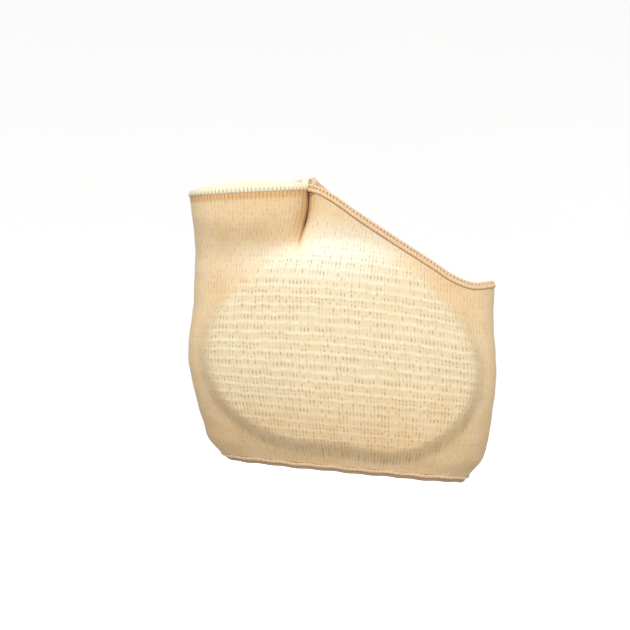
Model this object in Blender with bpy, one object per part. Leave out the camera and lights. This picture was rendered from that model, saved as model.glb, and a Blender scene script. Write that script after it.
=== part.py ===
"""Knitted forefoot sleeve with a toe tube, shaped as it is when worn, and the gel pad under its sole side.

The sole side faces -Y, the big toe is at -X and the toes point to +Z.
The origin is the middle of the opening that the foot goes in by. Lengths are in metres.
"""

import math
from collections import namedtuple

import bpy
import numpy as np

# The sleeve as a whole, measured from the origin
TUBE_HEIGHT = 0.0897        # to the top edge of the toe tube
MEDIAL_REACH = 0.0503       # to the big-toe side of the ball
LATERAL_REACH = 0.0464      # to the little-toe side of the ball
SOLE_REACH = 0.0175         # to the sole side of the ball, without the pad
DORSAL_REACH = 0.0215       # to the instep side of the foot opening
FOOT_EDGE_DROP = 0.0068     # the foot edge is this much lower at the little-toe side

# The split between the toe tube and the opening for the four other toes
DIVIDER_REACH = 0.0178      # furthest that the divider lies from the origin, towards the big toe
DIVIDER_CENTRE = -0.0040    # where the sole and dorsal sides meet between the toes
DIVIDER_NECK = 0.0028       # half of the fabric between the two creases
SPLIT_START = 0.0655        # height where the crease begins to sink in
SPLIT_FULL = 0.0800         # height where it is as deep as it gets
CROTCH_HEIGHT = 0.0735      # lower end of the seam that closes the divider
TOE_TUBE_HALF = 0.0132      # half the toe tube, sole to dorsal
FOUR_TOE_HALF = 0.0108      # half the four-toe opening, sole to dorsal
FOUR_TOE_DROP = 0.0304      # from the divider down to the little toe
TOE_EDGE_TILT = 0.0018      # the toe tube's edge is this much lower on its big-toe side
TOE_EDGE_ARCH = 0.0017      # and this much higher in its middle
DORSAL_LIFT = 0.0026        # the dorsal edge stands this much higher at the divider
DORSAL_LIFT_WIDTH = 0.0120

# Fabric and hems
FABRIC = 0.0016
HEM_GAP = 0.0005            # between the fabric's edge and a hem, and between two hems
HEM_SLANT = 0.0012          # the joint is this much lower outside than inside, so no light shows
HEM_THICKNESS = 0.0023
WEB_ROOM = 0.0010           # more room under the hems where they cross the divider
WEB_ROOM_WIDTH = 0.0030
TOE_HEM_HEIGHT = 0.0029
FOUR_TOE_HEM_HEIGHT = 0.0030
FOOT_HEM_HEIGHT = 0.0026

# Gel pad
PAD_CENTRE_X = -0.0020
PAD_CENTRE_Z = 0.0360
PAD_HALF_WIDTH = 0.0420
PAD_HALF_HEIGHT = 0.0320
PAD_RISE = 0.0030           # how far the fabric steps out over the pad's rim
PAD_DOME = 0.0017           # and further out at the pad's middle
PAD_STEP_OUTSIDE = 0.0030   # the fabric comes back to the foot this far outside the rim
PAD_STEP_INSIDE = 0.0034    # and reaches its full step this far inside the rim
PAD_SLOPE_ROOM = 0.0008     # the pad's own slope lies this much further in than the fabric's
PAD_GAP = 0.0004            # between the pad and the fabric

# One row for each level above the foot edge, as a share of TUBE_HEIGHT. The reaches and the
# divider are shares of their named sizes. Lean is how much deeper the sole is on the big-toe side.
Section = namedtuple("Section", "level medial lateral sole dorsal divider lean")
SECTIONS = (
    Section(0.000, 0.760, 0.797, 0.760, 1.000, 0.72, -0.16),
    Section(0.033, 0.818, 0.845, 0.800, 0.990, 0.74, -0.15),
    Section(0.067, 0.872, 0.905, 0.850, 0.975, 0.76, -0.13),
    Section(0.134, 0.912, 0.945, 0.930, 0.950, 0.80, -0.09),
    Section(0.223, 0.955, 0.974, 0.985, 0.900, 0.86, -0.04),
    Section(0.345, 1.000, 1.000, 1.000, 0.800, 0.93, 0.00),
    Section(0.450, 0.992, 0.999, 0.985, 0.720, 0.98, 0.02),
    Section(0.560, 0.967, 0.982, 0.940, 0.640, 1.00, 0.06),
    Section(0.670, 0.960, 0.990, 0.890, 0.560, 0.99, 0.10),
    Section(0.800, 0.962, 1.000, 0.860, 0.490, 0.85, 0.12),
    Section(0.900, 0.985, 1.000, 0.850, 0.450, 0.72, 0.12),
    Section(1.000, 1.000, 1.000, 0.850, 0.430, 0.69, 0.12),
)

# The four-toe edge from the divider to the little toe: share of the way across, share of the drop
EdgePoint = namedtuple("EdgePoint", "across drop")
FOUR_TOE_EDGE = (
    EdgePoint(0.00, 0.000),
    EdgePoint(0.05, 0.036),
    EdgePoint(0.27, 0.300),
    EdgePoint(0.48, 0.546),
    EdgePoint(0.68, 0.789),
    EdgePoint(0.79, 0.930),
    EdgePoint(0.88, 1.000),
    EdgePoint(1.00, 0.985),
)

# The pad's outline every 30 degrees from the little-toe side, towards the toes first,
# as shares of the ellipse that PAD_HALF_WIDTH and PAD_HALF_HEIGHT give
PAD_OUTLINE = (0.985, 0.935, 0.985, 1.070, 1.070, 1.035, 1.010, 0.980, 0.925, 0.895, 1.070, 1.065)

# Roundness of the cross-sections: 2 is an ellipse, and more is boxier
SOLE_ROUNDNESS = 2.9
DORSAL_ROUNDNESS = 2.3
TOE_TUBE_ROUNDNESS = 2.5
FOUR_TOE_ROUNDNESS = 3.4
DORSAL_LEAN = 0.22          # how much deeper the dorsal side is on the big-toe side

# Facets
# Lines stand closer together at some spots: the share of the way along, its width and the extra
Spot = namedtuple("Spot", "centre width extra")
Quarter = namedtuple("Quarter", "columns spots")
QUARTERS = (
    Quarter(12, (Spot(0.34, 0.10, 1.6),)),   # sole side of the toe tube, at the pad's rim
    Quarter(24, (Spot(0.77, 0.09, 1.4),)),   # sole side of the four-toe part, at the pad's rim
    Quarter(13, ()),                         # dorsal side of the four-toe part
    Quarter(7, ()),                          # dorsal side of the toe tube
)
ROWS = 35
ROW_SPOTS = (Spot(0.09, 0.06, 1.8), Spot(0.74, 0.09, 1.2))
NECK_STEPS = 2
HEM_SIDES = 8
PAD_RINGS = 9
PAD_SPOKES = 40
PAD_OUTLINE_STEP = 360 / len(PAD_OUTLINE)

COLUMNS = sum(quarter.columns for quarter in QUARTERS)
FRONT_DIVIDER = QUARTERS[0].columns
BACK_DIVIDER = COLUMNS - QUARTERS[3].columns
SLOPE_STEP = 1e-4           # metres, for slopes taken by differences
TURN_STEP = 2e-3            # the same round the sleeve
CREASE_TURN = 0.02          # how far round from a crease its own direction counts


def smooth_curve(knots, values, at):
    """The cubic through the table's points, whose slope at each comes from its neighbours."""
    knots = np.asarray(knots, float)
    values = np.asarray(values, float)
    slopes = np.gradient(values, knots)
    at = np.clip(at, knots[0], knots[-1])
    i = np.clip(np.searchsorted(knots, at, side="right") - 1, 0, len(knots) - 2)
    span = knots[i + 1] - knots[i]
    t = (at - knots[i]) / span
    return (
        values[i] * (1 + 2 * t) * (1 - t) ** 2
        + slopes[i] * span * t * (1 - t) ** 2
        + values[i + 1] * t * t * (3 - 2 * t)
        + slopes[i + 1] * span * t * t * (t - 1)
    )


def smooth_step(low, high, at):
    t = np.clip((at - low) / (high - low), 0, 1)
    return t * t * (3 - 2 * t)


def section_value(name, height):
    """A column of SECTIONS at a height above the foot edge."""
    levels = [row.level for row in SECTIONS]
    return smooth_curve(levels, [getattr(row, name) for row in SECTIONS], height / TUBE_HEIGHT)


def foot_edge(x):
    """Height of the foot edge, which drops towards the little toe."""
    return -FOOT_EDGE_DROP * x / (MEDIAL_REACH * SECTIONS[0].medial + LATERAL_REACH * SECTIONS[0].lateral)


def medial_side(z):
    low = foot_edge(-MEDIAL_REACH * SECTIONS[0].medial)
    return -MEDIAL_REACH * section_value("medial", z - low)


def lateral_side(z):
    low = foot_edge(LATERAL_REACH * SECTIONS[0].lateral)
    return LATERAL_REACH * section_value("lateral", z - low)


def divider(z):
    return -DIVIDER_REACH * section_value("divider", z)


def superellipse(share, roundness):
    """Half depth, as a share, at a share of the half width."""
    return (1 - np.minimum(np.abs(share), 1) ** roundness) ** (1 / roundness)


def place_on_loop(turn):
    """Which lobe and side a turn round the sleeve is on, and its share of the way across the lobe.

    Turns 0 to 1 are the sole side of the toe tube, 1 to 2 the sole side of the four-toe part,
    2 to 3 its dorsal side, and 3 to 4 the dorsal side of the toe tube.
    """
    turn = np.mod(turn, 4)
    quarter = np.floor(turn).astype(int)
    along = turn - quarter
    sole = quarter < 2
    across = (1 - np.cos(math.pi * along)) / 2
    across = np.where(sole, across, 1 - across)
    return (quarter == 0) | (quarter == 3), sole, across


def skin(turn, z):
    """Points on the outside of the bare sleeve, before the pad pushes it out."""
    in_tube, sole, across = place_on_loop(turn)
    medial, lateral, middle = medial_side(z), lateral_side(z), divider(z)
    low = np.where(in_tube, medial, middle)
    high = np.where(in_tube, middle, lateral)
    x = low + (high - low) * across

    height = z - foot_edge(x)
    front = SOLE_REACH * section_value("sole", height)
    back = DORSAL_REACH * section_value("dorsal", height)
    lean = np.where(sole, section_value("lean", height), DORSAL_LEAN)
    share = (2 * x - medial - lateral) / (lateral - medial)
    roundness = np.where(sole, SOLE_ROUNDNESS, DORSAL_ROUNDNESS)
    whole = (back + front) / 2 * superellipse(share, roundness) * (1 - lean * share)

    tube = TOE_TUBE_HALF * superellipse(2 * across - 1, TOE_TUBE_ROUNDNESS)
    four = FOUR_TOE_HALF * superellipse(2 * across - 1, FOUR_TOE_ROUNDNESS) * (1 - lean * share)
    neck = DIVIDER_NECK * np.where(in_tube, across, 1 - across)
    lobe = np.where(in_tube, tube, four) + neck

    split = smooth_step(SPLIT_START, SPLIT_FULL, z)
    half = whole + (lobe - whole) * split
    centre = (back - front) / 2 * (1 - split) + DIVIDER_CENTRE * split
    return np.stack([x, centre + np.where(sole, -half, half), z], axis=-1)


def outward(turn, z):
    """Unit normals of the bare sleeve, which at the bottom of a crease point straight out of it."""
    along = skin(turn + TURN_STEP, z) - skin(turn - TURN_STEP, z)
    up = skin(turn, z + SLOPE_STEP) - skin(turn, z - SLOPE_STEP)
    normal = np.cross(along, up)
    normal /= np.linalg.norm(normal, axis=-1, keepdims=True)
    from_crease = np.abs(np.mod(turn, 2) - 1) / CREASE_TURN
    crease = np.exp(-(from_crease**2)) * smooth_step(SPLIT_START, SPLIT_FULL, z)
    straight = np.zeros_like(normal)
    straight[..., 1] = np.where(place_on_loop(turn)[1], -1, 1)
    normal += (straight - normal) * crease[..., None]
    return normal / np.linalg.norm(normal, axis=-1, keepdims=True)


def pad_outline(angle):
    """The outline's share of the pad's ellipse in a direction."""
    ends = PAD_OUTLINE[-2:] + PAD_OUTLINE + PAD_OUTLINE[:3]
    knots = np.radians(PAD_OUTLINE_STEP) * (np.arange(len(ends)) - 2)
    return smooth_curve(knots, ends, np.mod(angle, 2 * math.pi))


def pad_bulge(x, z, room=0.0):
    """How far the pad pushes the fabric out, with its slope drawn in by the room given."""
    wide = (x - PAD_CENTRE_X) / PAD_HALF_WIDTH
    high = (z - PAD_CENTRE_Z) / PAD_HALF_HEIGHT
    share = np.hypot(wide, high) / pad_outline(np.arctan2(high, wide))
    from_centre = np.hypot(x - PAD_CENTRE_X, z - PAD_CENTRE_Z)
    inside = from_centre * (1 / np.maximum(share, 1e-3) - 1)
    step = smooth_step(-PAD_STEP_OUTSIDE, PAD_STEP_INSIDE, inside - room)
    return PAD_RISE * step + PAD_DOME * np.clip(1 - share**2, 0, 1)


def layer(turn, z, depth, room=0.0):
    """Points at a depth under the sleeve's outside, pad included."""
    points = skin(turn, z)
    bulge = np.where(place_on_loop(turn)[1], pad_bulge(points[..., 0], z, room), 0)
    return points + outward(turn, z) * (bulge - depth)[..., None]


def level_layer(turn, z, depth):
    """The same, at the heights given, for edges."""
    points = layer(turn, z, depth)
    points[..., 2] = z
    return points


def top_edge(turn):
    """Height of the sleeve's upper edge, and how much its slope stretches a hem's height."""
    in_tube, sole, across = place_on_loop(turn)
    tube_edge = TOE_EDGE_ARCH * np.sin(math.pi * across) - TOE_EDGE_TILT * (1 - across)
    top = TUBE_HEIGHT + np.where(in_tube, tube_edge, 0)
    knots = [point.across for point in FOUR_TOE_EDGE]
    drop = FOUR_TOE_DROP * smooth_curve(knots, [point.drop for point in FOUR_TOE_EDGE], across)
    top = top - np.where(in_tube, 0, drop)
    from_divider = np.where(in_tube, MEDIAL_REACH * (1 - across), 2 * LATERAL_REACH * across)
    lift = DORSAL_LIFT * np.exp(-((from_divider / DORSAL_LIFT_WIDTH) ** 2))
    top = top + np.where(sole, 0, lift)
    opening = LATERAL_REACH + DIVIDER_REACH
    slope = FOUR_TOE_DROP / opening * smooth_step(0.0, 0.1, across) * smooth_step(1.0, 0.75, across)
    return top, np.sqrt(1 + np.where(in_tube, 0, slope) ** 2)


def low_edge(turn):
    """Height of the foot edge at a turn."""
    x = skin(turn, np.zeros_like(turn))[..., 0]
    return foot_edge(x)


def crowded(count, spots):
    """Shares from 0 to 1 in a number of steps, which are shorter at the spots."""
    fine = np.linspace(0, 1, 1001)
    density = np.ones_like(fine)
    for spot in spots:
        density += spot.extra * np.exp(-(((fine - spot.centre) / spot.width) ** 2))
    total = np.concatenate([[0], np.cumsum(density[1:] + density[:-1])])
    return np.interp(np.linspace(0, total[-1], count + 1), total, fine)


def columns():
    """The turns of the columns, starting at the big-toe side."""
    parts = [n + crowded(quarter.columns, quarter.spots)[:-1] for n, quarter in enumerate(QUARTERS)]
    return np.concatenate(parts)


def make_object(name, points, faces, colour, roughness):
    """A closed mesh object with its own plain material."""
    mesh = bpy.data.meshes.new(name)
    mesh.from_pydata(points.tolist(), [], faces)
    mesh.update()
    mesh.shade_smooth()
    mesh.set_sharp_from_angle(angle=math.radians(50))
    material = bpy.data.materials.new(name)
    material.use_nodes = True
    shader = material.node_tree.nodes["Principled BSDF"]
    shader.inputs["Base Color"].default_value = (*colour, 1)
    shader.inputs["Roughness"].default_value = roughness
    shader.inputs["Metallic"].default_value = 0
    mesh.materials.append(material)
    obj = bpy.data.objects.new(name, mesh)
    bpy.context.scene.collection.objects.link(obj)
    return obj


def bridge(lower, upper, closed=True):
    """Quads between two rows of points, which run the same way."""
    count = len(lower) if closed else len(lower) - 1
    return [
        (lower[i], lower[(i + 1) % len(lower)], upper[(i + 1) % len(lower)], upper[i])
        for i in range(count)
    ]


def flipped(faces):
    return [tuple(reversed(face)) for face in faces]


class Points:
    """Collects rows of points and hands out their numbers."""

    def __init__(self):
        self.rows = []
        self.count = 0

    def add(self, row):
        self.rows.append(np.asarray(row, float))
        self.count += len(row)
        return list(range(self.count - len(row), self.count))

    def all(self):
        return np.concatenate(self.rows)


def wall_side(turns, heights, depth, slant):
    """One side of the wall, row by row. Both its edges are level and are moved by the slant."""
    depth = np.full(COLUMNS, depth)
    low = level_layer(turns, heights[0] - slant, depth)
    high = level_layer(turns, heights[-1] + slant, depth)
    return [low, *(layer(turns, z, depth) for z in heights[1:-1]), high]


def knit_sleeve():
    """The knitted wall: one tube from the foot edge, parted near the top into two by the divider."""
    turns = columns()
    top, stretch = top_edge(turns)
    in_tube = place_on_loop(turns)[0]
    hem = np.where(in_tube, TOE_HEM_HEIGHT, FOUR_TOE_HEM_HEIGHT * stretch)
    high = top - hem - HEM_GAP
    from_divider = skin(turns, high)[:, 0] - divider(high)
    high = high - WEB_ROOM * np.exp(-((from_divider / WEB_ROOM_WIDTH) ** 2))
    low = low_edge(turns) + FOOT_HEM_HEIGHT + HEM_GAP
    heights = low + (high - low) * crowded(ROWS, ROW_SPOTS)[:, None]
    crotch = int(np.argmin(np.abs(heights[:, FRONT_DIVIDER] - CROTCH_HEIGHT)))

    points = Points()
    outer_places = wall_side(turns, heights, 0.0, -HEM_SLANT / 2)
    inner_places = wall_side(turns, heights, FABRIC, HEM_SLANT / 2)
    outside = [points.add(row) for row in outer_places]
    inside = [points.add(row) for row in inner_places]

    faces = []
    for row in range(ROWS):
        faces += bridge(outside[row], outside[row + 1])
    for row in range(crotch):
        faces += flipped(bridge(inside[row], inside[row + 1]))
    faces += flipped(bridge(outside[0], inside[0]))

    shares = np.linspace(0, 1, NECK_STEPS + 1)[:, None]
    tube_loop = list(range(BACK_DIVIDER + 1, COLUMNS)) + list(range(FRONT_DIVIDER))
    four_loop = list(range(FRONT_DIVIDER + 1, BACK_DIVIDER))
    tube_rows, four_rows = [], []
    for row in range(crotch, ROWS + 1):
        front = inner_places[row][FRONT_DIVIDER]
        back = inner_places[row][BACK_DIVIDER]
        line = front + (back - front) * shares
        if row == crotch:
            middle = points.add(line[1:-1])
            neck = [inside[row][FRONT_DIVIDER], *middle, inside[row][BACK_DIVIDER]]
            left, right = neck, neck
        else:
            left = points.add(line - [FABRIC, 0, 0])
            right = points.add(line + [FABRIC, 0, 0])
        tube_rows.append([inside[row][i] for i in tube_loop] + left)
        four_rows.append([inside[row][i] for i in four_loop] + right[::-1])
    for rows in (tube_rows, four_rows):
        for lower, upper in zip(rows, rows[1:]):
            faces += flipped(bridge(lower, upper))

    front, back = outer_places[ROWS][FRONT_DIVIDER], outer_places[ROWS][BACK_DIVIDER]
    valley = points.add((front + (back - front) * shares)[1:-1])
    valley = [outside[ROWS][FRONT_DIVIDER], *valley, outside[ROWS][BACK_DIVIDER]]
    tube_rim = [outside[ROWS][i] for i in tube_loop] + valley
    four_rim = [outside[ROWS][i] for i in four_loop] + valley[::-1]
    faces += bridge(tube_rim, tube_rows[-1])
    faces += bridge(four_rim, four_rows[-1])

    used = sorted({i for face in faces for i in face})
    renumber = {old: new for new, old in enumerate(used)}
    faces = [tuple(renumber[i] for i in face) for face in faces]
    return make_object("knit_sleeve", points.all()[used], faces, (0.83, 0.66, 0.42), 0.85)


def hem_rings(turns, middle, half_height, joint):
    """Rounded sections of a hem that follows the fabric, one for each turn.

    The joint is -1 where the fabric's edge lies under the hem and 1 where it lies over it.
    """
    angles = 2 * math.pi * (np.arange(HEM_SIDES) + 0.5) / HEM_SIDES
    reach = np.cos(angles) / np.cos(math.pi / HEM_SIDES) * HEM_THICKNESS / 2
    slanted = np.where(np.sin(angles) * joint > 0, joint * HEM_SLANT / FABRIC * reach, 0)
    height = np.sin(angles) / np.cos(math.pi / HEM_SIDES) * half_height[:, None] + slanted
    turn = np.repeat(turns[:, None], HEM_SIDES, axis=1)
    return level_layer(turn, middle[:, None] + height, FABRIC / 2 - reach), reach


def lobe_rings(turns, middle, half_height, side):
    """The sections round one opening, carried through the divider on the given side of it."""
    rings, reach = hem_rings(turns, middle, half_height, -1)
    room = (HEM_GAP + HEM_THICKNESS) / 2 - reach
    limit = divider(rings[..., 2]) + side * room
    rings[..., 0] = side * np.maximum(side * rings[..., 0], side * limit)
    steps = np.arange(1, NECK_STEPS + 1)[:, None, None] / (NECK_STEPS + 1)
    return np.concatenate([rings, rings[-1] + (rings[0] - rings[-1]) * steps])


def band(name, rings, colour):
    """A closed band over the sections given."""
    points = Points()
    rings = [points.add(ring) for ring in rings]
    faces = []
    for ring, following in zip(rings, rings[1:] + rings[:1]):
        faces += flipped(bridge(ring, following))
    return make_object(name, points.all(), faces, colour, 0.8)


def toe_hem():
    """The folded edge of the toe tube."""
    turns = columns()
    turns = np.concatenate([turns[BACK_DIVIDER:], turns[: FRONT_DIVIDER + 1]])
    half = np.full(len(turns), TOE_HEM_HEIGHT / 2)
    return band("toe_hem", lobe_rings(turns, top_edge(turns)[0] - half, half, -1), (0.88, 0.75, 0.54))


def four_toe_hem():
    """The rolled edge of the slanting opening for the four other toes."""
    turns = columns()[FRONT_DIVIDER : BACK_DIVIDER + 1]
    top, stretch = top_edge(turns)
    half = FOUR_TOE_HEM_HEIGHT * stretch / 2
    return band("four_toe_hem", lobe_rings(turns, top - half, half, 1), (0.84, 0.64, 0.45))


def foot_hem():
    """The narrow edge that grips the foot."""
    turns = columns()
    half = np.full(COLUMNS, FOOT_HEM_HEIGHT / 2)
    rings = hem_rings(turns, low_edge(turns) + half, half, 1)[0]
    return band("foot_hem", rings, (0.72, 0.52, 0.36))


def sole_turn(x, z):
    """The turn of a point on the sole side, from where it lies across the sleeve."""
    middle = divider(z)
    in_tube = x < middle
    low = np.where(in_tube, medial_side(z), middle)
    high = np.where(in_tube, middle, lateral_side(z))
    across = np.clip((x - low) / (high - low), 0, 1)
    return np.arccos(1 - 2 * across) / math.pi + np.where(in_tube, 0, 1)


def gel_pad():
    """The gel pad, which fills the space that the fabric leaves over the foot."""
    angles = 2 * math.pi * np.arange(PAD_SPOKES) / PAD_SPOKES
    wide = PAD_HALF_WIDTH * pad_outline(angles) * np.cos(angles)
    high = PAD_HALF_HEIGHT * pad_outline(angles) * np.sin(angles)
    shares = np.sin(np.linspace(0, math.pi / 2, PAD_RINGS + 1))

    points = Points()
    faces = []
    sides = []
    for depth in (FABRIC + PAD_GAP, None):
        rings = []
        for share in shares:
            x = PAD_CENTRE_X + share * (wide if share else wide[:1] * 0)
            z = PAD_CENTRE_Z + share * (high if share else high[:1] * 0)
            turn = sole_turn(x, z)
            if depth is None:
                rings.append(points.add(skin(turn, z) - outward(turn, z) * FABRIC))
            else:
                rings.append(points.add(layer(turn, z, np.full(len(turn), depth), PAD_SLOPE_ROOM)))
        sides.append(rings)
    for rings, turned in zip(sides, (False, True)):
        shell = []
        for i in range(PAD_SPOKES):
            shell.append((rings[0][0], rings[1][i], rings[1][(i + 1) % PAD_SPOKES]))
        for inner, outer in zip(rings[1:], rings[2:]):
            shell += flipped(bridge(inner, outer))
        faces += flipped(shell) if turned else shell
    faces += flipped(bridge(sides[0][-1], sides[1][-1]))
    return make_object("gel_pad", points.all(), faces, (0.86, 0.78, 0.62), 0.35)


def main():
    for old in list(bpy.data.objects):
        bpy.data.objects.remove(old)
    knit_sleeve()
    toe_hem()
    four_toe_hem()
    foot_hem()
    gel_pad()


main()
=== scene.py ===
"""Looks of a knitted forefoot sleeve with a toe tube, in the form that it has when worn.

The sole side faces -Y, the toe tube is at -X and the two toe openings are at +Z. Lengths are in
metres.
"""

import logging
import math
from dataclasses import dataclass, field
from enum import Enum
from typing import NamedTuple

import bpy
import numpy as np
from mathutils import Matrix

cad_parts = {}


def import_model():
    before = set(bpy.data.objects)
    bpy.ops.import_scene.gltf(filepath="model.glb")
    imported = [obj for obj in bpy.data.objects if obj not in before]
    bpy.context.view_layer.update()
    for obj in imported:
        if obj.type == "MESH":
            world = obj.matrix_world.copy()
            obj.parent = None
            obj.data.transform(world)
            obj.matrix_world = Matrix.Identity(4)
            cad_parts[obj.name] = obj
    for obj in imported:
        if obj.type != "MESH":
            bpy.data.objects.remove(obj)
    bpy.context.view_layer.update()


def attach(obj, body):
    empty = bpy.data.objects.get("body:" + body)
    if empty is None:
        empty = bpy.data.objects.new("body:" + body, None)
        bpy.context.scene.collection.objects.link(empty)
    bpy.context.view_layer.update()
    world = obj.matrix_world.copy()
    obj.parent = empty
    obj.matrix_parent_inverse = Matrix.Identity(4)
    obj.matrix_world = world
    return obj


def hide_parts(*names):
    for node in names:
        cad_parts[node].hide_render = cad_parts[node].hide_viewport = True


LOG = logging.getLogger("forefoot_sleeve")
MM = 0.001
WHITE = (1.0, 1.0, 1.0, 1.0)


class Section(NamedTuple):
    """One level of the sleeve: its height above the foot edge and its reaches, all as shares."""

    level: float
    medial: float
    lateral: float
    sole: float
    dorsal: float
    divider: float
    lean: float


class Side(Enum):
    """The side of the divider that an opening lies on."""

    TOE_TUBE = -1
    FOUR_TOES = 1


SECTIONS = (
    Section(0.000, 0.760, 0.797, 0.760, 1.000, 0.72, -0.16),
    Section(0.033, 0.818, 0.845, 0.800, 0.990, 0.74, -0.15),
    Section(0.067, 0.872, 0.905, 0.850, 0.975, 0.76, -0.13),
    Section(0.134, 0.912, 0.945, 0.930, 0.950, 0.80, -0.09),
    Section(0.223, 0.955, 0.974, 0.985, 0.900, 0.86, -0.04),
    Section(0.345, 1.000, 1.000, 1.000, 0.800, 0.93, 0.00),
    Section(0.450, 0.992, 0.999, 0.985, 0.720, 0.98, 0.02),
    Section(0.560, 0.967, 0.982, 0.940, 0.640, 1.00, 0.06),
    Section(0.670, 0.960, 0.990, 0.890, 0.560, 0.99, 0.10),
    Section(0.800, 0.962, 1.000, 0.860, 0.490, 0.85, 0.12),
    Section(0.900, 0.985, 1.000, 0.850, 0.450, 0.72, 0.12),
    Section(1.000, 1.000, 1.000, 0.850, 0.430, 0.69, 0.12),
)
FOUR_TOE_EDGE = (
    (0.00, 0.000),
    (0.05, 0.036),
    (0.27, 0.300),
    (0.48, 0.546),
    (0.68, 0.789),
    (0.79, 0.930),
    (0.88, 1.000),
    (1.00, 0.985),
)
PAD_OUTLINE = (0.985, 0.935, 0.985, 1.070, 1.070, 1.035, 1.010, 0.980, 0.925, 0.895, 1.070, 1.065)


def smooth_curve(knots: np.ndarray, values: np.ndarray, at: np.ndarray) -> np.ndarray:
    """Follow a table with a smooth curve.

    Args:
        knots: places of the table's points, rising.
        values: the values there.
        at: places to read.

    Returns:
        The values at those places.
    """
    knots = np.asarray(knots, float)
    values = np.asarray(values, float)
    slopes = np.gradient(values, knots)
    at = np.clip(at, knots[0], knots[-1])
    i = np.clip(np.searchsorted(knots, at, side="right") - 1, 0, len(knots) - 2)
    span = knots[i + 1] - knots[i]
    t = (at - knots[i]) / span
    return (
        values[i] * (1 + 2 * t) * (1 - t) ** 2
        + slopes[i] * span * t * (1 - t) ** 2
        + values[i + 1] * t * t * (3 - 2 * t)
        + slopes[i + 1] * span * t * t * (t - 1)
    )


def smooth_step(low: float, high: float, at: np.ndarray) -> np.ndarray:
    """Rise from 0 to 1 between two places.

    Args:
        low: where the rise starts.
        high: where it ends.
        at: places to read.

    Returns:
        Values from 0 to 1.
    """
    t = np.clip((at - low) / (high - low), 0, 1)
    return t * t * (3 - 2 * t)


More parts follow.
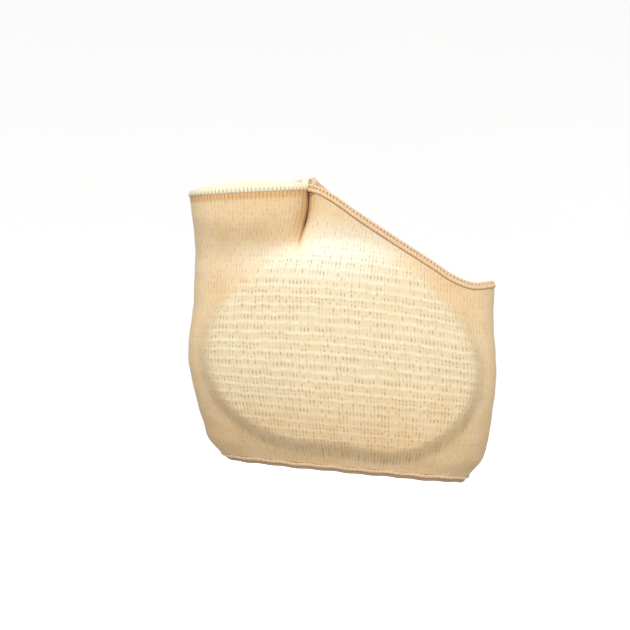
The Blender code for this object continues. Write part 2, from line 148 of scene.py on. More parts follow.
@dataclass(frozen=True)
class SleeveForm:
    """The sleeve's surfaces, with the sizes that the part has."""

    tube_height: float = 0.0897
    medial_reach: float = 0.0503
    lateral_reach: float = 0.0464
    sole_reach: float = 0.0175
    dorsal_reach: float = 0.0215
    foot_edge_drop: float = 0.0068
    divider_reach: float = 0.0178
    divider_centre: float = -0.0040
    divider_neck: float = 0.0028
    split_start: float = 0.0655
    split_full: float = 0.0800
    crotch_height: float = 0.0735
    toe_tube_half: float = 0.0132
    four_toe_half: float = 0.0108
    four_toe_drop: float = 0.0304
    toe_edge_tilt: float = 0.0018
    toe_edge_arch: float = 0.0017
    dorsal_lift: float = 0.0026
    dorsal_lift_width: float = 0.0120
    fabric: float = 0.0016
    pad_centre_x: float = -0.0020
    pad_centre_z: float = 0.0360
    pad_half_width: float = 0.0420
    pad_half_height: float = 0.0320
    pad_rise: float = 0.0030
    pad_dome: float = 0.0017
    pad_step_outside: float = 0.0030
    pad_step_inside: float = 0.0034
    sole_roundness: float = 2.9
    dorsal_roundness: float = 2.3
    toe_tube_roundness: float = 2.5
    four_toe_roundness: float = 3.4
    dorsal_lean: float = 0.22
    crease_turn: float = 0.02

    def section(self, name: str, height: np.ndarray) -> np.ndarray:
        """Read one column of the section table.

        Args:
            name: the column.
            height: heights above the foot edge.

        Returns:
            The column's shares there.
        """
        levels = [row.level for row in SECTIONS]
        return smooth_curve(levels, [getattr(row, name) for row in SECTIONS], height / self.tube_height)

    def foot_edge(self, x: np.ndarray) -> np.ndarray:
        """Give the height of the foot edge.

        Args:
            x: places across the sleeve.

        Returns:
            Heights, which drop away from the toe tube.
        """
        width = self.medial_reach * SECTIONS[0].medial + self.lateral_reach * SECTIONS[0].lateral
        return -self.foot_edge_drop * x / width

    def medial_side(self, z: np.ndarray) -> np.ndarray:
        """Give x of the side that the toe tube is on.

        Args:
            z: heights.

        Returns:
            Places across.
        """
        low = self.foot_edge(-self.medial_reach * SECTIONS[0].medial)
        return -self.medial_reach * self.section("medial", z - low)

    def lateral_side(self, z: np.ndarray) -> np.ndarray:
        """Give x of the side across from the toe tube.

        Args:
            z: heights.

        Returns:
            Places across.
        """
        low = self.foot_edge(self.lateral_reach * SECTIONS[0].lateral)
        return self.lateral_reach * self.section("lateral", z - low)

    def divider(self, z: np.ndarray) -> np.ndarray:
        """Give x of the divider between the toe tube and the four-toe part.

        Args:
            z: heights.

        Returns:
            Places across.
        """
        return -self.divider_reach * self.section("divider", z)

    @staticmethod
    def on_loop(turn: np.ndarray) -> tuple[np.ndarray, np.ndarray, np.ndarray]:
        """Say which lobe and side a turn round the sleeve is on.

        Args:
            turn: turns, where 0 to 2 is the sole side and 2 to 4 the dorsal side.

        Returns:
            Whether it is on the toe tube, whether on the sole side, and its share across the lobe.
        """
        turn = np.mod(turn, 4)
        quarter = np.floor(turn).astype(int)
        sole = quarter < 2
        across = (1 - np.cos(math.pi * (turn - quarter))) / 2
        return (quarter == 0) | (quarter == 3), sole, np.where(sole, across, 1 - across)

    def skin(self, turn: np.ndarray, z: np.ndarray) -> np.ndarray:
        """Give points on the bare sleeve, before the pad pushes it out.

        Args:
            turn: turns round the sleeve.
            z: heights.

        Returns:
            Points, with x, y and z last.
        """
        in_tube, sole, across = self.on_loop(turn)
        medial, lateral, middle = self.medial_side(z), self.lateral_side(z), self.divider(z)
        low = np.where(in_tube, medial, middle)
        high = np.where(in_tube, middle, lateral)
        x = low + (high - low) * across

        height = z - self.foot_edge(x)
        front = self.sole_reach * self.section("sole", height)
        back = self.dorsal_reach * self.section("dorsal", height)
        lean = np.where(sole, self.section("lean", height), self.dorsal_lean)
        share = (2 * x - medial - lateral) / (lateral - medial)
        roundness = np.where(sole, self.sole_roundness, self.dorsal_roundness)
        whole = (back + front) / 2 * self.profile(share, roundness) * (1 - lean * share)

        tube = self.toe_tube_half * self.profile(2 * across - 1, self.toe_tube_roundness)
        four = self.four_toe_half * self.profile(2 * across - 1, self.four_toe_roundness)
        neck = self.divider_neck * np.where(in_tube, across, 1 - across)
        lobe = np.where(in_tube, tube, four * (1 - lean * share)) + neck

        split = smooth_step(self.split_start, self.split_full, z)
        half = whole + (lobe - whole) * split
        centre = (back - front) / 2 * (1 - split) + self.divider_centre * split
        return np.stack([x, centre + np.where(sole, -half, half), z], axis=-1)

    @staticmethod
    def profile(share: np.ndarray, roundness: np.ndarray) -> np.ndarray:
        """Give the half depth of a rounded section.

        Args:
            share: places as a share of the half width.
            roundness: 2 for an ellipse, more for a boxier form.

        Returns:
            Half depths as shares.
        """
        return (1 - np.minimum(np.abs(share), 1) ** roundness) ** (1 / roundness)

    def outward(self, turn: np.ndarray, z: np.ndarray) -> np.ndarray:
        """Give the bare sleeve's unit normals.

        Args:
            turn: turns round the sleeve.
            z: heights.

        Returns:
            Unit vectors, with x, y and z last.
        """
        along = self.skin(turn + 2e-3, z) - self.skin(turn - 2e-3, z)
        up = self.skin(turn, z + 1e-4) - self.skin(turn, z - 1e-4)
        normal = np.cross(along, up)
        normal /= np.linalg.norm(normal, axis=-1, keepdims=True)
        from_crease = np.abs(np.mod(turn, 2) - 1) / self.crease_turn
        crease = np.exp(-(from_crease**2)) * smooth_step(self.split_start, self.split_full, z)
        straight = np.zeros_like(normal)
        straight[..., 1] = np.where(self.on_loop(turn)[1], -1, 1)
        normal += (straight - normal) * crease[..., None]
        return normal / np.linalg.norm(normal, axis=-1, keepdims=True)

    def pad_share(self, x: np.ndarray, z: np.ndarray) -> tuple[np.ndarray, np.ndarray, np.ndarray]:
        """Place points against the pad's outline.

        Args:
            x: places across.
            z: heights.

        Returns:
            The share of the way from the pad's middle to its rim, the distance inside the rim,
            and the direction as an angle.
        """
        wide = (x - self.pad_centre_x) / self.pad_half_width
        high = (z - self.pad_centre_z) / self.pad_half_height
        angle = np.arctan2(high, wide)
        share = np.hypot(wide, high) / self.pad_outline(angle)
        from_centre = np.hypot(x - self.pad_centre_x, z - self.pad_centre_z)
        return share, from_centre * (1 / np.maximum(share, 1e-3) - 1), angle

    @staticmethod
    def pad_outline(angle: np.ndarray) -> np.ndarray:
        """Read the outline table.

        Args:
            angle: directions from the pad's middle.

        Returns:
            The outline's share of the pad's ellipse.
        """
        ends = PAD_OUTLINE[-2:] + PAD_OUTLINE + PAD_OUTLINE[:3]
        knots = 2 * math.pi / len(PAD_OUTLINE) * (np.arange(len(ends)) - 2)
        return smooth_curve(knots, ends, np.mod(angle, 2 * math.pi))

    def pad_step(self, x: np.ndarray, z: np.ndarray, room: float = 0.0) -> np.ndarray:
        """Give the rise at the pad's rim as a share.

        Args:
            x: places across.
            z: heights.
            room: how far the rise is drawn in.

        Returns:
            0 off the pad and 1 on it.
        """
        inside = self.pad_share(x, z)[1]
        return smooth_step(-self.pad_step_outside, self.pad_step_inside, inside - room)

    def bulge(self, x: np.ndarray, z: np.ndarray, room: float = 0.0) -> np.ndarray:
        """Give how far the pad pushes the cloth out.

        Args:
            x: places across.
            z: heights.
            room: how far the slope is drawn in.

        Returns:
            Distances.
        """
        share = self.pad_share(x, z)[0]
        return self.pad_rise * self.pad_step(x, z, room) + self.pad_dome * np.clip(1 - share**2, 0, 1)

    def layer(self, turn: np.ndarray, z: np.ndarray, depth: np.ndarray, room: float = 0.0) -> np.ndarray:
        """Give points at a depth under the outside, pad included.

        Args:
            turn: turns round the sleeve.
            z: heights.
            depth: depths under the outside.
            room: how far the pad's slope is drawn in.

        Returns:
            Points, with x, y and z last.
        """
        points = self.skin(turn, z)
        bulge = np.where(self.on_loop(turn)[1], self.bulge(points[..., 0], z, room), 0)
        return points + self.outward(turn, z) * (bulge - depth)[..., None]

    def level_layer(self, turn: np.ndarray, z: np.ndarray, depth: np.ndarray) -> np.ndarray:
        """Give the same points, kept at the heights given.

        Args:
            turn: turns round the sleeve.
            z: heights.
            depth: depths under the outside.

        Returns:
            Points, with x, y and z last.
        """
        points = self.layer(turn, z, depth)
        points[..., 2] = z
        return points

    def top_edge(self, turn: np.ndarray) -> tuple[np.ndarray, np.ndarray]:
        """Give the upper edge.

        Args:
            turn: turns round the sleeve.

        Returns:
            Heights, and how much the edge's slope stretches a hem's height.
        """
        in_tube, sole, across = self.on_loop(turn)
        arch = self.toe_edge_arch * np.sin(math.pi * across) - self.toe_edge_tilt * (1 - across)
        top = self.tube_height + np.where(in_tube, arch, 0)
        knots = [point[0] for point in FOUR_TOE_EDGE]
        drop = self.four_toe_drop * smooth_curve(knots, [point[1] for point in FOUR_TOE_EDGE], across)
        top = top - np.where(in_tube, 0, drop)
        away = np.where(in_tube, self.medial_reach * (1 - across), 2 * self.lateral_reach * across)
        top = top + np.where(sole, 0, self.dorsal_lift * np.exp(-((away / self.dorsal_lift_width) ** 2)))
        slope = self.four_toe_drop / (self.lateral_reach + self.divider_reach)
        slope = slope * smooth_step(0.0, 0.1, across) * smooth_step(1.0, 0.75, across)
        return top, np.sqrt(1 + np.where(in_tube, 0, slope) ** 2)

    def low_edge(self, turn: np.ndarray) -> np.ndarray:
        """Give the height of the foot edge.

        Args:
            turn: turns round the sleeve.

        Returns:
            Heights.
        """
        return self.foot_edge(self.skin(turn, np.zeros_like(turn))[..., 0])


def srgb(code: str) -> tuple[float, float, float, float]:
    """Turn an sRGB hex colour to linear.

    Args:
        code: six hex digits after a hash sign.

    Returns:
        Red, green, blue and alpha.
    """
    parts = [int(code[i : i + 2], 16) / 255 for i in (1, 3, 5)]
    red, green, blue = (c / 12.92 if c <= 0.04045 else ((c + 0.055) / 1.055) ** 2.4 for c in parts)
    return red, green, blue, 1.0


def set_inputs(tree: bpy.types.NodeTree, node: bpy.types.Node, inputs: dict | tuple) -> None:
    """Set a node's inputs, or link them.

    Args:
        tree: the node's tree.
        node: the node.
        inputs: each input's value or the output socket that feeds it, by name or number, or in order.
    """
    pairs = inputs.items() if isinstance(inputs, dict) else enumerate(inputs)
    for key, value in pairs:
        if isinstance(value, bpy.types.NodeSocket):
            tree.links.new(value, node.inputs[key])
        else:
            node.inputs[key].default_value = value


def add_node(
    tree: bpy.types.NodeTree,
    kind: str,
    inputs: dict | tuple = (),
    output: int | str = 0,
    **settings: object,
) -> bpy.types.NodeSocket:
    """Add a node with its settings and links.

    Args:
        tree: the material's tree.
        kind: the node's type, without the word ShaderNode before it.
        inputs: each input's value or the output socket that feeds it, by name or number, or in order.
        output: the output that is wanted.
        **settings: the node's own properties.

    Returns:
        The output socket.
    """
    node = tree.nodes.new("ShaderNode" + kind)
    for name, value in settings.items():
        setattr(node, name, value)
    set_inputs(tree, node, inputs)
    return node.outputs[output]


def new_material(name: str) -> tuple[bpy.types.Material, bpy.types.NodeTree, bpy.types.Node]:
    """Start a material.

    Args:
        name: its name.

    Returns:
        The material, its tree and its Principled BSDF.
    """
    material = bpy.data.materials.new(name)
    material.use_nodes = True
    tree = material.node_tree
    return material, tree, tree.nodes["Principled BSDF"]


def crest(tree: bpy.types.NodeTree, place: bpy.types.NodeSocket) -> bpy.types.NodeSocket:
    """Make round crests, one between each two whole numbers.

    Args:
        tree: the material's tree.
        place: the place along the repeats.

    Returns:
        0 at each whole number and 1 halfway.
    """
    for operation, second in (("MULTIPLY", math.pi), ("SINE", 0.0), ("ABSOLUTE", 0.0)):
        place = add_node(tree, "Math", (place, second), operation=operation)
    return place


def from_middle(tree: bpy.types.NodeTree, place: bpy.types.NodeSocket) -> bpy.types.NodeSocket:
    """Measure how far a place is from the middle of its repeat.

    Args:
        tree: the material's tree.
        place: the place along the repeats.

    Returns:
        0.5 at each whole number and 0 halfway.
    """
    for operation, second in (("FRACT", 0.0), ("SUBTRACT", 0.5), ("ABSOLUTE", 0.0)):
        place = add_node(tree, "Math", (place, second), operation=operation)
    return place


def ramp(
    tree: bpy.types.NodeTree,
    value: bpy.types.NodeSocket,
    low: float,
    high: float,
    at_low: float = 0.0,
    at_high: float = 1.0,
) -> bpy.types.NodeSocket:
    """Go smoothly from one value to another, as smooth_step does.

    Args:
        tree: the material's tree.
        value: the socket to read.
        low: where the change starts.
        high: where it ends.
        at_low: the value below it.
        at_high: the value above it.

    Returns:
        The output socket.
    """
    limits = (value, low, high, at_low, at_high)
    return add_node(tree, "MapRange", limits, interpolation_type="SMOOTHSTEP")


class Layer(NamedTuple):
    """A colour laid over those before it: where it covers them, how strongly, and the colour."""

    cover: bpy.types.NodeSocket
    strength: float
    colour: object


def paint(tree: bpy.types.NodeTree, ground: object, layers: tuple[Layer, ...]) -> bpy.types.NodeSocket:
    """Lay colours one over the other.

    Args:
        tree: the material's tree.
        ground: the lowest colour, or a socket.
        layers: the layers over it, from the lowest.

    Returns:
        The colour that shows.
    """
    for layer in layers:
        cover = add_node(tree, "Math", (layer.cover, layer.strength), operation="MULTIPLY")
        ground = add_node(tree, "Mix", {0: cover, 6: ground, 7: layer.colour}, 2, data_type="RGBA")
    return ground


@dataclass(frozen=True)
class RibKnitFinish:
    """Elastic rib knit of nylon over elastane, machine knitted.

    Raised pale courses cross it where the pad stretches it, short dark slits show between its
    wales, and elsewhere it is denser and tanner. The yarn is dull and a little fuzzy.
    """

    name: str
    yarn: str = "#e9c898"
    over_pad: str = "#e9d5ad"
    # Pale courses and mottle, and also the colour of the painted highlight above the pad
    pale: str = "#fffbe9"
    slit: str = "#a08455"
    # Painted shade in the crease between the toe tube and the four-toe part
    crease_shade: str = "#94703a"
    shaded: str = "#dfae78"
    # Painted shade: the cloth darker towards the foot edge
    low_shade_colour: str = "#e0c194"
    # Painted light: the cloth paler at the sides
    side_light_colour: str = "#f3d9b0"
    bump_mm: float = 0.30
    dashes_per_course: float = 1.8
    fine_courses: float = 4.0
    dash_off_pad: float = 0.26
    dash_over_pad: float = 0.30
    streak_strength: float = 0.48
    hem_dash_strength: float = 0.45
    darkest: float = 0.85

    def make(self) -> bpy.types.Material:
        """Build the material.

        Returns:
            The material, which reads the knit UV map and the cloth's attributes.
        """
        material, tree, shader = new_material(self.name)
        uv = add_node(tree, "UVMap", uv_map="knit")
        split = add_node(tree, "SeparateXYZ", (uv,)).node.outputs
        place = add_node(tree, "TexCoord", output="Object")
        names = ("pad_cover", "pad_low", "pale", "tension", "crease", "hem_shade", "low_tone", "side_tone")
        mark = {name: add_node(tree, "Attribute", output="Fac", attribute_name=name) for name in names}
        pad = mark["pad_cover"]

        # The yarn strays from its line by about 0.25 mm, over 3 and 9 wales
        stray = add_node(tree, "TexNoise", {"Vector": uv, "Scale": 0.35, "Detail": 2.0}, "Fac")
        stray = add_node(tree, "Math", (stray, 0.5), operation="SUBTRACT")
        wale, course = (
            add_node(tree, "Math", (stray, 0.55, axis), operation="MULTIPLY_ADD") for axis in split[:2]
        )

        # Raised courses, one to each whole number of the UV map's height, here and there fainter
        ridge = ramp(tree, from_middle(tree, course), 0.06, 0.30, 1.0, 0.0)
        broken = add_node(tree, "TexNoise", {"Vector": uv, "Scale": 0.7, "Detail": 3.0}, "Fac")
        broken = ramp(tree, broken, 0.36, 0.60, 0.40, 1.0)
        fading = ramp(tree, mark["pad_low"], 0.1, 1.0, 1.0, 0.35)
        for factor in (broken, pad, fading):
            ridge = add_node(tree, "Math", (ridge, factor), operation="MULTIPLY")

        # Fine courses of the unstretched knit, 0.6 mm apart
        fine = add_node(tree, "Math", (course, self.fine_courses), operation="MULTIPLY")
        fine = ramp(tree, from_middle(tree, fine), 0.1, 0.5)
        fine_chance = add_node(tree, "TexNoise", {"Vector": uv, "Scale": 1.6, "Detail": 1.0}, "Fac")
        off_pad = add_node(tree, "Math", (1.0, pad), operation="SUBTRACT")
        for factor in (ramp(tree, fine_chance, 0.42, 0.66), off_pad):
            fine = add_node(tree, "Math", (fine, factor), operation="MULTIPLY")

        # Slits between the wales, broken into dashes by the courses, each with its own strength
        wave = crest(tree, wale)
        slit = ramp(tree, wave, 0.10, 0.75, 1.0, 0.0)
        number = add_node(tree, "Math", (wale, 0.0), operation="ROUND")
        along = add_node(tree, "Math", (course, self.dashes_per_course), operation="MULTIPLY")
        row = add_node(tree, "Math", (along, 0.0), operation="FLOOR")
        cell = add_node(tree, "CombineXYZ", (number, row))
        chance = ramp(tree, add_node(tree, "TexWhiteNoise", {"Vector": cell}), 0.05, 0.95)
        within = ramp(tree, from_middle(tree, along), 0.22, 0.46, 1.0, 0.0)
        off_ridge = add_node(tree, "Math", (1.0, ridge), operation="SUBTRACT")
        strength = add_node(
            tree, "Math", (pad, self.dash_over_pad, self.dash_off_pad), operation="MULTIPLY_ADD"
        )
        dark = slit
        for factor in (within, chance, off_ridge, strength):
            dark = add_node(tree, "Math", (dark, factor), operation="MULTIPLY")

        # Long streaks where the cloth comes off the pad's lower rim, one to a wale
        column = add_node(tree, "CombineXYZ", (number,))
        streak = ramp(tree, add_node(tree, "TexWhiteNoise", {"Vector": column}), 0.35, 0.9)
        for factor in (slit, mark["tension"]):
            streak = add_node(tree, "Math", (streak, factor), operation="MULTIPLY")
        hem_dash = add_node(tree, "Math", (slit, mark["hem_shade"]), operation="MULTIPLY")
        for part, share in ((streak, self.streak_strength), (hem_dash, self.hem_dash_strength)):
            dark = add_node(tree, "Math", (part, share, dark), operation="MULTIPLY_ADD")
        dark = add_node(tree, "Math", (dark, self.darkest), operation="MINIMUM")

        # Mottle of the yarn about 6 mm across, and its fuzz, 0.4 mm across
        mottle = add_node(tree, "TexNoise", {"Vector": place, "Scale": 160.0, "Detail": 3.0}, "Fac")
        mottle = ramp(tree, mottle, 0.38, 0.64)
        fuzz = add_node(tree, "TexNoise", {"Vector": place, "Scale": 2400.0, "Detail": 2.0}, "Fac")

        # The pad's cloth is paler where stretched, and painted shade takes it back to the yarn's tone
        # towards the bottom
        over = paint(tree, srgb(self.over_pad), (Layer(mark["pad_low"], 1.0, srgb(self.yarn)),))
        tone = paint(
            tree,
            srgb(self.yarn),
            (
                # Painted shade: the cloth darker towards the foot edge
                Layer(mark["low_tone"], 1.0, srgb(self.low_shade_colour)),
                # Painted light: the cloth paler at the sides
                Layer(mark["side_tone"], 1.0, srgb(self.side_light_colour)),
                Layer(pad, 1.0, over),
                # Painted highlight above the pad
                Layer(mark["pale"], 1.0, srgb(self.pale)),
                Layer(mottle, 0.10, srgb(self.pale)),
                Layer(mark["hem_shade"], 1.0, srgb(self.shaded)),
                Layer(ridge, 0.34, srgb(self.pale)),
                Layer(fuzz, 0.13, srgb(self.slit)),
                Layer(fine, 0.20, srgb(self.slit)),
                Layer(dark, 1.0, srgb(self.slit)),
                # Painted shade along the crease
                Layer(mark["crease"], 1.0, srgb(self.crease_shade)),
            ),
        )

        height = add_node(tree, "Math", (ridge, 0.28), operation="MULTIPLY")
        for part, share in ((wave, 0.25), (dark, -0.9), (fuzz, 0.45)):
            height = add_node(tree, "Math", (part, share, height), operation="MULTIPLY_ADD")
        bump = {"Strength": 0.8, "Distance": self.bump_mm * MM, "Height": height}
        looks = {
            "Base Color": tone,
            "Normal": add_node(tree, "Bump", bump),
            "Roughness": 0.88,
            "Specular IOR Level": 0.22,
            "Sheen Weight": 0.15,
            "Sheen Roughness": 0.5,
            "Sheen Tint": srgb("#fff3dc"),
        }
        set_inputs(tree, shader, looks)
        return material


@dataclass(frozen=True)
class HemFinish:
    """The same yarn, folded or overlocked at an edge.

    Tight ribs cross the fold in a cleaner tone, needle holes show in a row, and painted shade darkens its
    grooves and underside.
    """

    name: str
    yarn: str
    slit: str
    # Painted shade in the hem's grooves and along its underside
    groove_shade: str = "#9a6c3c"
    rib_strength: float = 0.35
    hole_strength: float = 0.8
    stitch_share: float = 1.1 / 1.25

    def make(self) -> bpy.types.Material:
        """Build the material.

        Returns:
            The material, which reads the hem's knit UV map and its attributes.
        """
        material, tree, shader = new_material(self.name)
        along = add_node(tree, "SeparateXYZ", (add_node(tree, "UVMap", uv_map="knit"),))
        place = add_node(tree, "TexCoord", output="Object")
        # Ribs 1.1 mm apart, as the wales are
        wave = crest(tree, along)
        ribs = ramp(tree, wave, 0.0, 0.6, self.rib_strength, 0.0)
        fuzz = add_node(tree, "TexNoise", {"Vector": place, "Scale": 1500.0, "Detail": 3.0}, "Fac")
        ribs = add_node(tree, "Math", (ribs, ramp(tree, fuzz, 0.3, 0.7)), operation="MULTIPLY")
        # Needle holes 1.25 mm apart
        stitch = add_node(tree, "Math", (along, self.stitch_share), operation="MULTIPLY")
        hole = ramp(tree, from_middle(tree, stitch), 0.12, 0.34, 1.0, 0.0)
        row = add_node(tree, "Attribute", output="Fac", attribute_name="holes")
        for factor in (row, self.hole_strength):
            hole = add_node(tree, "Math", (hole, factor), operation="MULTIPLY")
        # Painted shade in the hem's grooves and along its underside
        shade = add_node(tree, "Attribute", output="Fac", attribute_name="shade")
        tone = paint(
            tree,
            srgb(self.yarn),
            (
                Layer(ribs, 1.0, srgb(self.slit)),
                Layer(hole, 1.0, srgb(self.slit)),
                Layer(shade, 1.0, srgb(self.groove_shade)),
            ),
        )
        height = add_node(tree, "Math", (wave, 0.45), operation="MULTIPLY")
        for part, share in ((fuzz, 0.8), (hole, -1.0)):
            height = add_node(tree, "Math", (part, share, height), operation="MULTIPLY_ADD")
        bump = {"Strength": 0.8, "Distance": 0.25 * MM, "Height": height}
        looks = {
            "Base Color": tone,
            "Normal": add_node(tree, "Bump", bump),
            "Roughness": 0.85,
            "Specular IOR Level": 0.25,
            "Sheen Weight": 0.15,
        }
        set_inputs(tree, shader, looks)
        return material


@dataclass(frozen=True)
class ThreadFinish:
    """Twisted polyester sewing thread: smoother than the knit, with a faint gloss."""

    name: str = "polyester_thread_twisted"
    colour: str = "#f6e3c2"
    ply_shade: str = "#dcbd90"

    def make(self) -> bpy.types.Material:
        """Build the material.

        Returns:
            The material.
        """
        material, tree, shader = new_material(self.name)
        place = add_node(tree, "TexCoord", output="Object")
        ply = add_node(tree, "TexNoise", {"Vector": place, "Scale": 2600.0, "Detail": 2.0}, "Fac")
        bump = {"Strength": 0.5, "Distance": 0.1 * MM, "Height": ply}
        looks = {
            "Base Color": paint(tree, srgb(self.colour), (Layer(ply, 1.0, srgb(self.ply_shade)),)),
            "Normal": add_node(tree, "Bump", bump),
            "Roughness": 0.6,
            "Sheen Weight": 0.1,
        }
        set_inputs(tree, shader, looks)
        return material


@dataclass(frozen=True)
class GelFinish:
    """Styrene gel, moulded: soft and a little see-through, with a dull gloss."""

    name: str = "styrene_gel_moulded"
    colour: str = "#ecdcbc"
    cloud_shade: str = "#e2cda6"

    def make(self) -> bpy.types.Material:
        """Build the material.

        Returns:
            The material.
        """
        material, tree, shader = new_material(self.name)
        place = add_node(tree, "TexCoord", output="Object")
        cloud = add_node(tree, "TexNoise", {"Vector": place, "Scale": 90.0, "Detail": 2.0}, "Fac")
        grain = add_node(tree, "TexNoise", {"Vector": place, "Scale": 900.0, "Detail": 2.0}, "Fac")
        bump = {"Strength": 0.15, "Distance": 0.1 * MM, "Height": grain}
        looks = {
            "Base Color": paint(tree, srgb(self.colour), (Layer(cloud, 1.0, srgb(self.cloud_shade)),)),
            "Normal": add_node(tree, "Bump", bump),
            "Roughness": 0.32,
            "IOR": 1.5,
            "Subsurface Weight": 0.4,
            "Subsurface Scale": 0.004,
        }
        set_inputs(tree, shader, looks)
        return material


class ClothMesh:
    """Collects rows of points with their knit coordinates and attributes, and the faces over them."""

    def __init__(self) -> None:
        """Start empty."""
        self.points: list[np.ndarray] = []
        self.values: dict[str, list[np.ndarray]] = {}
        self.faces: list[np.ndarray] = []
        self.uvs: list[np.ndarray] = []
        self.count = 0

    def add(self, row: np.ndarray, **values: np.ndarray) -> np.ndarray:
        """Add a row of points.

        Args:
            row: the points.
            **values: an attribute's value at each.

        Returns:
            The points' numbers.
        """
        row = np.asarray(row, float)
        self.points.append(row)
        for name in {**self.values, **values}:
            held = self.values.setdefault(name, [np.zeros(self.count)] if self.count else [])
            held.append(np.broadcast_to(np.asarray(values.get(name, 0.0), float), (len(row),)))
        self.count += len(row)
        return np.arange(self.count - len(row), self.count)

    def bridge(
        self,
        lower: np.ndarray,
        upper: np.ndarray,
        uv_lower: np.ndarray,
        uv_upper: np.ndarray,
        closed: bool = True,
        inward: bool = False,
    ) -> None:
        """Put quads between two rows.

        Args:
            lower: the lower row's numbers.
            upper: the upper row's numbers.
            uv_lower: the lower row's knit coordinates, one more than the row where it is closed.
            uv_upper: the upper row's.
            closed: whether the row ends where it began.
            inward: whether the faces look inwards.
        """
        if closed:
            lower, upper = np.append(lower, lower[0]), np.append(upper, upper[0])
        faces = np.stack([lower[:-1], lower[1:], upper[1:], upper[:-1]], axis=1)
        uvs = np.stack([uv_lower[:-1], uv_lower[1:], uv_upper[1:], uv_upper[:-1]], axis=1)
        if inward:
            faces, uvs = faces[:, ::-1], uvs[:, ::-1]
        self.faces.append(faces)
        self.uvs.append(uvs)

    def fan(self, ring: np.ndarray, centre: np.ndarray, inward: bool = False) -> None:
        """Close a ring with triangles about a point.

        Args:
            ring: the ring's numbers.
            centre: the point, which is added.
            inward: whether the faces look inwards.
        """
        middle = self.add(centre[None])
        faces = np.stack([ring, np.roll(ring, -1), np.full(len(ring), middle[0])], axis=1)
        self.faces.append(faces[:, ::-1] if inward else faces)
        self.uvs.append(np.zeros((len(ring), 3, 2)))

    def make(self, name: str, material: bpy.types.Material, sharp: float = 60.0) -> bpy.types.Object:
        """Build the object.

        Args:
            name: the piece's name.
            material: its material.
            sharp: the angle in degrees past which an edge stays sharp.

        Returns:
            The object, at the origin, shaded smooth.
        """
        points = np.concatenate(self.points)
        faces = [face for block in self.faces for face in block.tolist()]
        mesh = bpy.data.meshes.new(name)
        mesh.from_pydata(points.tolist(), [], faces)
        layer = mesh.uv_layers.new(name="knit")
        uvs = np.concatenate([block.reshape(-1) for block in self.uvs])
        layer.data.foreach_set("uv", uvs.astype(np.float32))
        for key, parts in self.values.items():
            data = mesh.attributes.new(key, "FLOAT", "POINT")
            data.data.foreach_set("value", np.concatenate(parts).astype(np.float32))
        mesh.update()
        mesh.shade_smooth()
        mesh.set_sharp_from_angle(angle=math.radians(sharp))
        mesh.materials.append(material)
        piece = bpy.data.objects.new(name, mesh)
        bpy.context.scene.collection.objects.link(piece)
        return piece


def declare(piece: bpy.types.Object, slot: str, *nodes: str) -> None:
    """Hang a piece on the frame's root, hide the CAD nodes that it stands for, and log its triangles.

    Args:
        piece: the piece.
        slot: not used.
        *nodes: the CAD nodes that it stands for.
    """
    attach(piece, "root")
    if nodes:
        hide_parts(*nodes)
    count = sum(len(face.vertices) - 2 for face in piece.data.polygons)
    LOG.info("%s: %d triangles", piece.name, count)


def column_turns(columns: tuple[int, ...]) -> np.ndarray:
    """Give the turns of a piece's columns, starting at the toe tube's outer side.

    Args:
        columns: how many there are to each quarter.

    Returns:
        Rising turns from 0 to 4.
    """
    return np.concatenate([n + np.arange(count) / count for n, count in enumerate(columns)])


